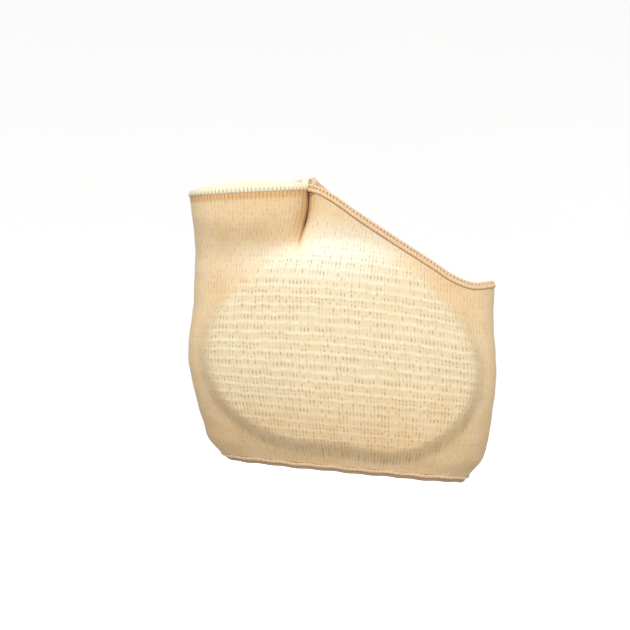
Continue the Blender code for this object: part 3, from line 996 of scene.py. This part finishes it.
@dataclass
class KnitSleeve:
    """The knitted wall, from the foot hem to the two toe openings."""

    form: SleeveForm
    columns: tuple[int, int, int, int] = (52, 100, 56, 32)
    rows: int = 230
    inner_step: int = 5
    wale: float = 1.1 * MM
    course_low: float = 2.2 * MM
    course_high: float = 2.9 * MM
    course_arch: float = 3.0 * MM
    course_relief: float = 0.045 * MM
    wave_relief: float = 0.09 * MM
    hem_lap: float = 0.6 * MM
    wave_free: float = 8.0 * MM
    four_toe_hem_height: float = 3.0 * MM
    foot_hem_height: float = 2.6 * MM
    widest_height: float = 32 * MM
    divider_steps: int = 7
    divider_pitch: float = 0.4
    # The painted highlight above the pad, the streaks under its rim, the crease's line of painted shade, and
    # the painted light that makes the sides paler
    highlight_middle: tuple[float, float] = (-7.0 * MM, 68.5 * MM)
    highlight_spread: tuple[float, float] = (25.0 * MM, 8.5 * MM)
    highlight_strength: float = 0.85
    streak_place: float = 1.6 * MM
    streak_spread: float = 1.3 * MM
    crease_shade_spread: float = 0.32 * MM
    crease_shade_strength: float = 0.15
    side_light_strength: float = 0.60

    def wale_index(self, turns: np.ndarray) -> np.ndarray:
        """Number the wales round the sleeve.

        Args:
            turns: rising turns.

        Returns:
            Each column's place in wales, counted at the widest part, and the first one again.
        """
        ring = self.form.skin(np.append(turns, 4.0), np.full(len(turns) + 1, self.widest_height))
        lengths = np.linalg.norm(np.diff(ring, axis=0), axis=1)
        along = np.concatenate([[0.0], np.cumsum(lengths)])
        total = round(along[-1] / self.wale)
        return along / along[-1] * total

    def course_index(self, points: np.ndarray) -> np.ndarray:
        """Number the courses up the sleeve.

        Args:
            points: points on the sleeve.

        Returns:
            Each point's place in courses. They arch over the upper part of the pad.
        """
        x, z = points[..., 0], points[..., 2]
        height = z - self.form.foot_edge(x)
        across = (x - self.form.pad_centre_x) / self.form.pad_half_width
        arch = self.course_arch * np.clip(1 - across**2, -0.4, 1)
        arch = arch * smooth_step(0.015, 0.055, height) * smooth_step(0.090, 0.066, height)
        height = height - arch
        growth = (self.course_high - self.course_low) / 0.06
        return np.log1p(growth * np.maximum(height, 0) / self.course_low) / growth

    def attributes(self, turns: np.ndarray, points: np.ndarray) -> dict[str, np.ndarray]:
        """Work out what the finish needs to know at each point.

        Args:
            turns: the points' turns.
            points: the points.

        Returns:
            Attribute name to values from 0 to 1.
        """
        x, z = points[..., 0], points[..., 2]
        form = self.form
        in_tube, sole, _ = form.on_loop(turns)
        _, inside, angle = form.pad_share(x, z)
        downward = smooth_step(-0.1, 0.5, -np.sin(angle))
        streaks = np.exp(-(((inside + self.streak_place) / self.streak_spread) ** 2)) * downward
        split = smooth_step(form.split_start + 0.007, form.split_full + 0.001, z)
        away = x - form.divider(z)
        on_tube_side = np.exp(-((np.minimum(away, 0) / (3.2 * MM)) ** 2)) * (away < 0.3 * MM)
        height = z - form.foot_edge(x)
        wide = np.abs(x - (form.medial_side(z) + form.lateral_side(z)) / 2)
        wide = wide / ((form.lateral_side(z) - form.medial_side(z)) / 2)
        at_side = smooth_step(0.72, 0.98, wide) * smooth_step(0.012, 0.038, height)
        below_hem = self.cloth_top(turns)[0] - self.hem_lap - z
        hem_shade = np.where(in_tube, smooth_step(2.6 * MM, 1.4 * MM, below_hem) * 0.75, 0)
        hem_shade = np.maximum(hem_shade, 0.55 * on_tube_side * smooth_step(0.071, 0.078, z))
        # Painted highlight above the pad; higher up it stays only on the four-toe side of the divider
        (middle_x, middle_z), (spread_x, spread_z) = self.highlight_middle, self.highlight_spread
        pale = np.exp(-(((x - middle_x) / spread_x) ** 2) - ((z - middle_z) / spread_z) ** 2)
        pale = pale * np.maximum(smooth_step(0.076, 0.066, z), smooth_step(0, 0.8 * MM, away))
        return {
            "pad_cover": np.where(sole, form.pad_step(x, z), 0.12),
            "pad_low": smooth_step(0.040, 0.004, z),
            # Painted highlight above the pad
            "pale": np.where(sole, self.highlight_strength * pale, 0),
            "tension": np.where(sole, streaks, 0.0),
            # Painted shade along the crease
            "crease": split * np.exp(-((away / self.crease_shade_spread) ** 2)) * self.crease_shade_strength,
            "hem_shade": hem_shade,
            # Painted shade: the cloth darker towards the foot edge
            "low_tone": smooth_step(0.040, 0.0, height),
            # Painted light: the cloth paler at the sides
            "side_tone": at_side * self.side_light_strength,
        }

    def cloth_top(self, turns: np.ndarray) -> tuple[np.ndarray, np.ndarray]:
        """Give the cloth's upper edge, a little way into the hems.

        Args:
            turns: turns round the sleeve.

        Returns:
            Heights, and the hems' heights there.
        """
        top, stretch = self.form.top_edge(turns)
        in_tube, _, across = self.form.on_loop(turns)
        hem = np.where(in_tube, fold_height(across), self.four_toe_hem_height * stretch)
        return top - hem + self.hem_lap, hem

    def outer_row(self, turns: np.ndarray, z: np.ndarray, level: bool) -> np.ndarray:
        """Give one row of the outside, with its raised courses.

        Args:
            turns: the columns.
            z: their heights.
            level: whether the row is an edge, which stays level and plain.

        Returns:
            The row's points.
        """
        flat = np.zeros(len(turns))
        low = self.form.low_edge(turns)
        if level:
            return self.form.level_layer(turns, z, flat)
        base = self.form.layer(turns, z, flat)
        phase = np.mod(self.course_index(base), 1) - 0.5
        cover = np.where(self.form.on_loop(turns)[1], self.form.pad_step(base[..., 0], z), 0.1)
        relief = self.course_relief * np.exp(-((phase / 0.20) ** 2)) * cover
        # Soft waves where the cloth isn't stretched over the pad
        top = self.cloth_top(turns)[0]
        free = smooth_step(0, self.wave_free, top - z) * smooth_step(0, self.wave_free, z - low)
        wave = np.sin(z / (1.75 * MM) + 2.1 * np.sin(3 * turns)) * np.sin(5.0 * turns + z / (4.1 * MM))
        wave = wave + 0.6 * np.sin(z / (2.9 * MM) - 4.0 * turns)
        relief = relief + self.wave_relief * wave * free * (1 - cover)
        return self.form.layer(turns, z, -relief)

    def build(self, material: bpy.types.Material) -> bpy.types.Object:
        """Build the piece.

        Args:
            material: its finish.

        Returns:
            The piece.
        """
        form, turns = self.form, column_turns(self.columns)
        count = len(turns)
        front, back = self.columns[0], count - self.columns[3]
        high = self.cloth_top(turns)[0]
        low = form.low_edge(turns) + self.foot_hem_height - self.hem_lap
        heights = low + (high - low) * np.linspace(0, 1, self.rows + 1)[:, None]
        wales = self.wale_index(turns)

        cloth = ClothMesh()
        outside, outside_uv = [], []
        for number, z in enumerate(heights):
            row = self.outer_row(turns, z, number in (0, self.rows))
            courses = self.course_index(row)
            outside.append(cloth.add(row, **self.attributes(turns, row)))
            outside_uv.append(np.stack([wales, np.append(courses, courses[0])], axis=1))
        for number in range(self.rows):
            cloth.bridge(
                outside[number], outside[number + 1], outside_uv[number], outside_uv[number + 1]
            )

        crotch = int(np.argmin(np.abs(heights[:, front] - form.crotch_height)))
        crotch -= crotch % self.inner_step
        inner_rows = list(range(0, self.rows + 1, self.inner_step))
        depth = np.full(count, form.fabric)
        rings, ring_uv = {}, {}
        for number in inner_rows:
            level = number in (0, self.rows)
            place = form.level_layer if level else form.layer
            row = place(turns, heights[number], depth)
            rings[number] = (cloth.add(row, pad_cover=0.3), row)
            ring_uv[number] = outside_uv[number]
        for lower, upper in zip(inner_rows, inner_rows[1:]):
            if upper <= crotch:
                cloth.bridge(
                    rings[lower][0], rings[upper][0], ring_uv[lower], ring_uv[upper], inward=True
                )
        cloth.bridge(outside[0], rings[0][0], outside_uv[0], ring_uv[0], inward=True)

        shares = np.linspace(0, 1, self.divider_steps)[:, None]
        tube_loop = np.concatenate([np.arange(back + 1, count), np.arange(front)])
        four_loop = np.arange(front + 1, back)
        tube_rows, four_rows = [], []
        for number in [n for n in inner_rows if n >= crotch]:
            numbers, row = rings[number]
            line = row[front] + (row[back] - row[front]) * shares
            if number == crotch:
                neck = np.concatenate([[numbers[front]], cloth.add(line[1:-1]), [numbers[back]]])
                left = right = neck
            else:
                left = cloth.add(line - [form.fabric, 0, 0])
                right = cloth.add(line + [form.fabric, 0, 0])
            tube_rows.append(np.concatenate([numbers[tube_loop], left]))
            four_rows.append(np.concatenate([numbers[four_loop], right[::-1]]))
        for rows in (tube_rows, four_rows):
            for number, (lower, upper) in enumerate(zip(rows, rows[1:])):
                steps = np.arange(len(lower) + 1) * self.divider_pitch
                uv = np.stack([steps, np.full(len(steps), number)], axis=1)
                cloth.bridge(lower, upper, uv, uv + [0, 1], inward=True)

        start = cloth.points[self.rows][front]
        end = cloth.points[self.rows][back]
        # Painted shade along the valley between the two openings
        valley = cloth.add((start + (end - start) * shares)[1:-1], crease=0.5)
        valley = np.concatenate([[outside[-1][front]], valley, [outside[-1][back]]])
        for rim, inner in (
            (np.concatenate([outside[-1][tube_loop], valley]), tube_rows[-1]),
            (np.concatenate([outside[-1][four_loop], valley[::-1]]), four_rows[-1]),
        ):
            steps = np.arange(len(rim) + 1) * self.divider_pitch
            uv = np.stack([steps, np.zeros(len(steps))], axis=1)
            cloth.bridge(rim, inner, uv, uv + [0, 0.5])

        self.drop_unused(cloth)
        piece = cloth.make("knit_sleeve_cloth", material)
        declare(piece, "knit", "knit_sleeve")
        return piece

    @staticmethod
    def drop_unused(cloth: ClothMesh) -> None:
        """Leave out the points that no face uses.

        Args:
            cloth: the mesh, changed in place.
        """
        faces = np.concatenate(cloth.faces)
        used, renumbered = np.unique(faces, return_inverse=True)
        cloth.faces = [renumbered.reshape(faces.shape)]
        cloth.points = [np.concatenate(cloth.points)[used]]
        for name, parts in cloth.values.items():
            cloth.values[name] = [np.concatenate(parts)[used]]


def fold_height(across: np.ndarray) -> np.ndarray:
    """Give the height of the toe tube's fold, which is tallest in the middle.

    Args:
        across: shares of the way across the toe tube.

    Returns:
        Heights.
    """
    return (1.9 + 2.0 * np.sin(math.pi * across) ** 0.9) * MM


class ProfilePoint(NamedTuple):
    """A point of a hem's section: its height and reach outwards as shares, its painted shade and its needle
    holes.
    """

    height: float
    reach: float
    shade: float = 0.0
    holes: float = 0.0


FOLD_PROFILE = (
    ProfilePoint(-0.90, 0.10, 0.6),
    ProfilePoint(-1.00, 0.55, 0.40),
    ProfilePoint(-0.88, 0.90, 0.10, 0.25),
    ProfilePoint(-0.62, 1.00, 0.0, 1.0),
    ProfilePoint(-0.36, 1.02, 0.0, 0.85),
    ProfilePoint(-0.10, 1.00, 0.0, 0.1),
    ProfilePoint(0.34, 0.95),
    ProfilePoint(0.80, 0.68),
    ProfilePoint(1.00, 0.05),
    ProfilePoint(0.80, -0.62),
    ProfilePoint(0.20, -0.90),
    ProfilePoint(-0.85, -0.90, 0.1),
)
ROLL_PROFILE = (
    ProfilePoint(-0.95, 0.00, 0.9),
    ProfilePoint(-1.02, 0.30, 0.55),
    ProfilePoint(-0.86, 0.52, 0.35),
    ProfilePoint(-0.66, 0.25, 0.95),
    ProfilePoint(-0.48, 0.72, 0.25),
    ProfilePoint(-0.18, 1.00),
    ProfilePoint(0.14, 0.82),
    ProfilePoint(0.34, 0.48, 0.15, 0.7),
    ProfilePoint(0.55, 0.45, 0.1, 1.0),
    ProfilePoint(0.78, 0.45, 0.0, 0.3),
    ProfilePoint(1.00, 0.20),
    ProfilePoint(0.95, -0.45),
    ProfilePoint(0.30, -0.90),
    ProfilePoint(-0.80, -0.85, 0.1),
)
GRIP_PROFILE = (
    ProfilePoint(-0.98, 0.00, 0.9),
    ProfilePoint(-0.92, 0.42, 0.75),
    ProfilePoint(-0.66, 0.60, 0.55),
    ProfilePoint(-0.40, 0.50, 0.75),
    ProfilePoint(-0.18, 0.86, 0.1),
    ProfilePoint(0.10, 1.00),
    ProfilePoint(0.38, 0.90),
    ProfilePoint(0.60, 0.45, 0.45, 0.6),
    ProfilePoint(1.00, 0.35, 0.2, 0.4),
    ProfilePoint(1.00, -0.30, 0.2),
    ProfilePoint(0.60, -0.85),
    ProfilePoint(-0.70, -0.85, 0.3),
)


@dataclass
class Hem:
    """A hem that follows the cloth: a shaped section swept round an opening."""

    form: SleeveForm
    name: str
    slot: str
    thickness: float
    profile: tuple[ProfilePoint, ...]
    height: float = 0.0
    columns: tuple[int, int, int, int] = (60, 130, 70, 36)
    sides: int = 34
    wobble: float = 0.0
    wobble_length: float = 2.6 * MM
    wale: float = 1.1 * MM
    between_hems: float = 0.4 * MM

    def section(self) -> dict[str, np.ndarray]:
        """Give the section's height, reach and tones at each of its points."""
        count = len(self.profile)
        at = count * np.arange(self.sides) / self.sides
        rows = self.profile[-2:] + self.profile + self.profile[:3]
        knots = np.arange(len(rows)) - 2
        names = ProfilePoint._fields
        return {name: smooth_curve(knots, [getattr(row, name) for row in rows], at) for name in names}

    def outer_reach(self, height: np.ndarray) -> np.ndarray:
        """Read the outer face of the profile.

        Args:
            height: heights as shares.

        Returns:
            The reach there, as shares.
        """
        face = sorted((row.height, row.reach) for row in self.profile if row.reach > 0)
        return np.interp(height, [row[0] for row in face], [row[1] for row in face])

    def turns(self) -> np.ndarray:
        """Give the turns round the hem's opening, here the whole way round the sleeve."""
        return column_turns(self.columns)

    def line(self, turns: np.ndarray) -> tuple[np.ndarray, np.ndarray]:
        """Give the hem's middle height and half its height.

        Args:
            turns: turns round the sleeve.

        Returns:
            The two heights at each turn.
        """
        raise NotImplementedError

    def rings(self, turns: np.ndarray) -> tuple[np.ndarray, np.ndarray]:
        """Lay the sections on the cloth.

        Args:
            turns: one turn for each section.

        Returns:
            The rings, as an array of sections by points, and the reach of each point.
        """
        section = self.section()
        middle, half = self.line(turns)
        path = self.form.skin(turns, middle)
        length = np.cumsum(np.linalg.norm(np.diff(path, axis=0, prepend=path[:1]), axis=1))
        sway = np.sin(length / self.wobble_length * 2) + 0.7 * np.sin(length / self.wobble_length * 0.83 + 1)
        middle = middle + self.wobble * sway
        reach = section["reach"] * self.thickness / 2
        turn = np.repeat(turns[:, None], self.sides, axis=1)
        height = section["height"] * half[:, None]
        depth = np.broadcast_to(self.form.fabric / 2 - reach, height.shape)
        return self.form.level_layer(turn, middle[:, None] + height, depth), reach

    def through_divider(self, rings: np.ndarray, reach: np.ndarray, side: Side) -> np.ndarray:
        """Carry an opening's rings through the divider, on its own side of it.

        Args:
            rings: the sections round the opening.
            reach: the reach of each of their points.
            side: the side of the divider.

        Returns:
            The rings with those between them.
        """
        room = self.between_hems / 2 + self.thickness / 2 - reach
        limit = self.form.divider(rings[..., 2]) + side.value * room
        rings[..., 0] = side.value * np.maximum(side.value * rings[..., 0], side.value * limit)
        steps = np.arange(1, 12)[:, None, None] / 12
        return np.concatenate([rings, rings[-1] + (rings[0] - rings[-1]) * steps])

    def sweep(self, rings: np.ndarray, material: bpy.types.Material) -> bpy.types.Object:
        """Close a band over the rings.

        Args:
            rings: the sections.
            material: the finish.

        Returns:
            The piece.
        """
        cloth = ClothMesh()
        section = self.section()
        tones = {name: np.clip(section[name], 0, 1) for name in ("shade", "holes")}
        numbers = [cloth.add(ring, **tones) for ring in rings]
        path = rings.mean(axis=1)
        lengths = np.linalg.norm(np.roll(path, -1, axis=0) - path, axis=1)
        along = np.concatenate([[0.0], np.cumsum(lengths)]) / self.wale
        around = np.arange(self.sides + 1) / self.sides
        for i, ring in enumerate(numbers):
            following = numbers[(i + 1) % len(numbers)]
            here = np.stack([np.full(self.sides + 1, along[i]), around], axis=1)
            there = np.stack([np.full(self.sides + 1, along[i + 1]), around], axis=1)
            cloth.bridge(ring, following, here, there)
        piece = cloth.make(self.name, material)
        declare(piece, self.slot, self.slot)
        return piece

    def build(self, material: bpy.types.Material) -> bpy.types.Object:
        """Build the piece.

        Args:
            material: its finish.

        Returns:
            The piece.
        """
        return self.sweep(self.rings(self.turns())[0], material)


@dataclass
class ToeHem(Hem):
    """The folded edge of the toe tube, whose height is its fold's."""

    def turns(self) -> np.ndarray:
        """Give the turns round the toe tube, from the dorsal side of the divider."""
        turns = column_turns(self.columns)
        back, front = len(turns) - self.columns[3], self.columns[0]
        return np.concatenate([turns[back:] - 4, turns[: front + 1]])

    def line(self, turns: np.ndarray) -> tuple[np.ndarray, np.ndarray]:
        """Give the hem's middle height and half its height.

        Args:
            turns: turns round the sleeve.

        Returns:
            The two heights at each turn.
        """
        half = fold_height(self.form.on_loop(turns)[2]) / 2
        return self.form.top_edge(turns)[0] - half, half

    def build(self, material: bpy.types.Material) -> bpy.types.Object:
        """Build the piece.

        Args:
            material: its finish.

        Returns:
            The piece.
        """
        return self.sweep(self.through_divider(*self.rings(self.turns()), Side.TOE_TUBE), material)


@dataclass
class FourToeHem(Hem):
    """The rolled edge of the slanting four-toe opening."""

    corner_lap: float = 1.1 * MM
    corner_lift: float = 0.5 * MM
    corner_turn: float = 0.10

    def turns(self) -> np.ndarray:
        """Give the turns round the opening, from the sole side of the divider."""
        turns = column_turns(self.columns)
        return turns[self.columns[0] : len(turns) - self.columns[3] + 1]

    def line(self, turns: np.ndarray) -> tuple[np.ndarray, np.ndarray]:
        """Give the hem's middle height and half its height.

        Args:
            turns: turns round the sleeve.

        Returns:
            The two heights at each turn.
        """
        top, stretch = self.form.top_edge(turns)
        half = self.height * stretch / 2
        return top - half, half

    def build(self, material: bpy.types.Material) -> bpy.types.Object:
        """Build the piece. Its pointed corner laps over the end of the toe tube's fold.

        Args:
            material: its finish.

        Returns:
            The piece.
        """
        turns = self.turns()
        rings, reach = self.rings(turns)
        through = self.through_divider(rings, reach, Side.FOUR_TOES)
        corner = np.exp(-(((turns - 1) / self.corner_turn) ** 2))[:, None]
        through[: len(turns), :, 0] -= self.corner_lap * corner
        through[: len(turns), :, 1] -= self.corner_lift * corner
        return self.sweep(through, material)


@dataclass
class FootHem(Hem):
    """The narrow edge of the foot opening."""

    def line(self, turns: np.ndarray) -> tuple[np.ndarray, np.ndarray]:
        """Give the hem's middle height and half its height.

        Args:
            turns: turns round the sleeve.

        Returns:
            The two heights at each turn.
        """
        half = np.full(len(turns), self.height / 2)
        return self.form.low_edge(turns) + half, half


@dataclass
class StitchRow:
    """Short threads side by side over a hem, all in one piece."""

    hem: Hem
    name: str
    low: float
    high: float
    pitch: float = 1.25 * MM
    radius: float = 0.17 * MM
    lean: float = 0.45 * MM
    lift: float = 0.10 * MM
    steps: int = 6
    sides: int = 6

    def build(self, material: bpy.types.Material) -> bpy.types.Object:
        """Build the piece.

        Args:
            material: its finish.

        Returns:
            The piece.
        """
        hem, form = self.hem, self.hem.form
        fine = hem.turns()
        middle, half = hem.line(fine)
        path = form.skin(fine, middle)
        length = np.concatenate([[0], np.cumsum(np.linalg.norm(np.diff(path, axis=0), axis=1))])
        count = int(length[-1] / self.pitch) - 1
        starts = self.pitch * (0.75 + np.arange(count))
        shares = np.linspace(0, 1, self.steps)
        places = starts[:, None] + self.lean * shares
        turns = np.interp(places, length, fine)
        middle, half = np.interp(turns, fine, middle), np.interp(turns, fine, half)
        heights = self.low + (self.high - self.low) * shares
        reach = hem.outer_reach(heights) * hem.thickness / 2 + self.lift * np.sin(math.pi * shares)
        depth = np.broadcast_to(form.fabric / 2 - reach, turns.shape)
        points = form.level_layer(turns, middle + heights * half, depth)
        outward = form.outward(turns, middle)
        tangent = np.gradient(points, axis=1)
        tangent /= np.linalg.norm(tangent, axis=-1, keepdims=True)
        sideways = np.cross(tangent, outward)
        sideways /= np.linalg.norm(sideways, axis=-1, keepdims=True)
        upward = np.cross(sideways, tangent)
        angles = 2 * math.pi * np.arange(self.sides) / self.sides
        uv = np.zeros((self.sides + 1, 2))
        cloth = ClothMesh()
        for stitch in range(count):
            rows = []
            for step in range(self.steps):
                spread = np.outer(np.cos(angles), sideways[stitch, step])
                spread += np.outer(np.sin(angles), upward[stitch, step])
                thickness = self.radius * (0.55 if step in (0, self.steps - 1) else 1.0)
                rows.append(cloth.add(points[stitch, step] + thickness * spread))
            for lower, upper in zip(rows, rows[1:]):
                cloth.bridge(lower, upper, uv, uv, inward=True)
            cloth.fan(rows[0], points[stitch, 0] - tangent[stitch, 0] * self.radius * 0.3)
            cloth.fan(rows[-1], points[stitch, -1] + tangent[stitch, -1] * self.radius * 0.3, True)
        piece = cloth.make(self.name, material)
        declare(piece, hem.slot)
        return piece


@dataclass
class GelPad:
    """The gel pad under the cloth of the sole side."""

    form: SleeveForm
    rings: int = 24
    spokes: int = 120
    gap: float = 0.4 * MM
    slope_room: float = 0.8 * MM

    def sole_turn(self, x: np.ndarray, z: np.ndarray) -> np.ndarray:
        """Give the turn of points on the sole side.

        Args:
            x: places across.
            z: heights.

        Returns:
            Turns from 0 to 2.
        """
        middle = self.form.divider(z)
        in_tube = x < middle
        low = np.where(in_tube, self.form.medial_side(z), middle)
        high = np.where(in_tube, middle, self.form.lateral_side(z))
        across = np.clip((x - low) / (high - low), 0, 1)
        return np.arccos(1 - 2 * across) / math.pi + np.where(in_tube, 0, 1)

    def build(self, material: bpy.types.Material) -> bpy.types.Object:
        """Build the piece.

        Args:
            material: its finish.

        Returns:
            The piece.
        """
        form = self.form
        angles = 2 * math.pi * np.arange(self.spokes) / self.spokes
        wide = form.pad_half_width * form.pad_outline(angles) * np.cos(angles)
        high = form.pad_half_height * form.pad_outline(angles) * np.sin(angles)
        shares = np.sin(np.linspace(0.02, math.pi / 2, self.rings + 1))
        cloth = ClothMesh()
        uv = np.zeros((self.spokes + 1, 2))
        sides = []
        for outer in (True, False):
            rows = []
            for share in shares:
                x, z = form.pad_centre_x + share * wide, form.pad_centre_z + share * high
                turn = self.sole_turn(x, z)
                if outer:
                    depth = np.full(len(turn), form.fabric + self.gap)
                    rows.append(cloth.add(form.layer(turn, z, depth, self.slope_room)))
                else:
                    rows.append(cloth.add(form.skin(turn, z) - form.outward(turn, z) * form.fabric))
            for lower, upper in zip(rows, rows[1:]):
                cloth.bridge(lower, upper, uv, uv, inward=outer)
            sides.append(rows)
        cloth.bridge(sides[0][-1], sides[1][-1], uv, uv, inward=True)
        piece = cloth.make("gel_pad_moulded", material)
        self.close_middles(piece)
        declare(piece, "gel", "gel_pad")
        return piece

    @staticmethod
    def close_middles(piece: bpy.types.Object) -> None:
        """Fill the small holes left at the middle of both faces.

        Args:
            piece: the pad.
        """
        bpy.ops.object.select_all(action="DESELECT")
        bpy.context.view_layer.objects.active = piece
        piece.select_set(True)
        bpy.ops.object.mode_set(mode="EDIT")
        bpy.ops.mesh.select_all(action="SELECT")
        bpy.ops.mesh.fill_holes(sides=0)
        bpy.ops.mesh.normals_make_consistent(inside=False)
        bpy.ops.object.mode_set(mode="OBJECT")
        piece.select_set(False)


class Lamp(NamedTuple):
    """A square soft light: its name, place, side, power in watts and colour."""

    name: str
    place: tuple[float, float, float]
    size: float
    power: float
    colour: tuple[float, float, float]


LAMPS = (
    Lamp("key", (-0.10, -0.46, 0.58), 0.36, 2.45, (1.0, 0.985, 0.96)),
    Lamp("fill", (0.12, -0.75, -0.02), 0.50, 1.8, (1.0, 0.99, 0.97)),
    Lamp("back", (0.0, 0.55, 0.50), 0.60, 1.8, (1.0, 1.0, 1.0)),
)


@dataclass
class Studio:
    """A plain pale floor, soft lights and the camera."""

    frame_width: int = 630
    scale: float = 0.31 * MM
    sole_plane: float = -0.012
    aim_height: float = 0.045
    distance: float = 0.65
    middle: tuple[float, float] = (-0.0105, 0.0490)
    floor_height: float = -0.030
    sweep_flat: float = 2.4
    sweep_radius: float = 1.2
    sweep_length: float = 8.0
    spokes: int = 96
    rings: int = 64
    hole: float = 0.001
    light_above: float = 0.70
    light_below: float = 0.42
    board_glow: float = 0.36
    sensor: float = 36.0

    def camera(self) -> None:
        """Set the camera square to the sole side."""
        data = bpy.data.cameras.new("camera")
        data.sensor_width = self.sensor
        data.lens = self.sensor * self.distance / (self.frame_width * self.scale)
        data.clip_start = 0.01
        camera = bpy.data.objects.new("camera", data)
        camera.location = (self.middle[0], self.sole_plane - self.distance, self.middle[1])
        camera.rotation_euler = (math.pi / 2, 0, 0)
        bpy.context.scene.collection.objects.link(camera)
        bpy.context.scene.camera = camera

    def lights(self) -> None:
        """Hang a soft key light above, a weak fill in front and a light behind."""
        for lamp in LAMPS:
            data = bpy.data.lights.new(lamp.name, "AREA")
            data.size = lamp.size
            data.energy = lamp.power
            data.color = lamp.colour
            light = bpy.data.objects.new(lamp.name, data)
            light.location = lamp.place
            aim = np.array([0.0, 0.0, self.aim_height]) - np.array(lamp.place)
            yaw = math.atan2(aim[0], -aim[1])
            pitch = math.atan2(math.hypot(aim[0], aim[1]), -aim[2])
            light.rotation_euler = (pitch, 0, yaw + math.pi)
            bpy.context.scene.collection.objects.link(light)

    def world(self) -> None:
        """Surround the scene with pale light, weaker from below, and show tones as they are."""
        world = bpy.data.worlds.new("pale_room")
        world.use_nodes = True
        bpy.context.scene.world = world
        tree = world.node_tree
        up = add_node(tree, "SeparateXYZ", (add_node(tree, "TexCoord", output="Generated"),), 2)
        strength = ramp(tree, up, -0.8, 0.7, self.light_below, self.light_above)
        set_inputs(tree, tree.nodes["Background"], {"Color": WHITE, "Strength": strength})
        bpy.context.scene.view_settings.view_transform = "Standard"

    def floor(self) -> None:
        """Lay a round pale floor a little below the part, whose rim sweeps up all round."""
        bpy.ops.object.select_all(action="DESELECT")
        bpy.ops.mesh.primitive_grid_add(x_subdivisions=self.spokes, y_subdivisions=self.rings, size=2)
        floor = bpy.context.object
        floor.name = "floor_sweep"
        for vertex in floor.data.vertices:
            angle = math.pi * vertex.co.x
            along = self.hole + (vertex.co.y + 1) / 2 * self.sweep_length
            turn = min(max((along - self.sweep_flat) / self.sweep_radius, 0), math.pi / 2)
            out = min(along, self.sweep_flat) + self.sweep_radius * math.sin(turn)
            rest = max(along - self.sweep_flat - self.sweep_radius * math.pi / 2, 0)
            vertex.co.x = out * math.cos(angle)
            vertex.co.y = out * math.sin(angle)
            vertex.co.z = self.floor_height + self.sweep_radius * (1 - math.cos(turn)) + rest
        bpy.ops.object.mode_set(mode="EDIT")
        bpy.ops.mesh.select_all(action="SELECT")
        bpy.ops.mesh.remove_doubles(threshold=3 * self.hole)
        bpy.ops.mesh.fill_holes(sides=4)
        bpy.ops.object.mode_set(mode="OBJECT")
        floor.data.shade_smooth()
        material, tree, shader = new_material("painted_board_matt")
        # Matt white paint, evenly lit, so only a soft shadow shows on it
        place = add_node(tree, "TexCoord", output="Object")
        grain = add_node(tree, "TexNoise", {"Vector": place, "Scale": 3.0, "Detail": 2.0}, "Fac")
        looks = {
            "Base Color": paint(tree, srgb("#f6f6f5"), (Layer(grain, 1.0, srgb("#f9f9f8")),)),
            "Roughness": 0.9,
            "Specular IOR Level": 0.1,
            "Emission Color": WHITE,
            "Emission Strength": self.board_glow,
        }
        set_inputs(tree, shader, looks)
        floor.data.materials.append(material)
        floor.visible_diffuse = False
        floor.visible_shadow = False

    def build(self) -> None:
        """Set up the whole studio."""
        self.camera()
        self.lights()
        self.world()
        self.floor()


@dataclass
class ForefootSleeve:
    """The whole sleeve."""

    form: SleeveForm = field(default_factory=SleeveForm)
    hem_thickness: float = 2.3 * MM
    foot_hem_thickness: float = 2.2 * MM
    flat_size: tuple[float, float] = (0.24, 0.092)
    flat_area: float = 0.0172

    def build(self) -> list[bpy.types.Object]:
        """Build and declare every piece.

        Returns:
            The pieces.
        """
        form = self.form
        knit = RibKnitFinish("elastic_rib_knit").make()
        fold = HemFinish("folded_knit_edge", "#faf1d4", "#a8916a", "#c08a55", hole_strength=0.5).make()
        roll = HemFinish("rolled_overlocked_edge", "#e8c7a0", "#9c6e48", "#94683c").make()
        grip = HemFinish("narrow_overlocked_edge", "#e6c9a2", "#a87c52", "#8a5c40").make()
        thread = ThreadFinish().make()
        knitted = KnitSleeve(form)
        sleeve = knitted.build(knit)
        thick, high = self.hem_thickness, knitted.four_toe_hem_height
        toe = ToeHem(form, "toe_hem_fold", "toe_hem", thick, FOLD_PROFILE).build(fold)
        four_hem = FourToeHem(form, "four_toe_hem_roll", "four_toe_hem", thick, ROLL_PROFILE, height=high)
        four = four_hem.build(roll)
        thick, high = self.foot_hem_thickness, knitted.foot_hem_height
        foot_hem = FootHem(form, "foot_hem_edge", "foot_hem", thick, GRIP_PROFILE, height=high)
        foot_hem.wobble = 0.10 * MM
        foot = foot_hem.build(grip)
        stitches = [
            StitchRow(four_hem, "four_toe_hem_overlock", 0.10, 0.95).build(thread),
            StitchRow(four_hem, "four_toe_hem_fray", -1.15, -0.72, lean=0.1 * MM).build(thread),
            StitchRow(foot_hem, "foot_hem_overlock", -0.15, 0.55, pitch=1.6 * MM).build(thread),
        ]
        pad = GelPad(form).build(GelFinish().make())
        return [sleeve, toe, four, foot, pad, *stitches]


def main() -> None:
    """Load the frame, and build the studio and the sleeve."""
    logging.basicConfig(level=logging.INFO, format="%(name)s: %(message)s")
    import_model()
    Studio().build()
    pieces = ForefootSleeve().build()
    LOG.info("%d pieces", len(pieces))


if __name__ == "__main__":
    main()
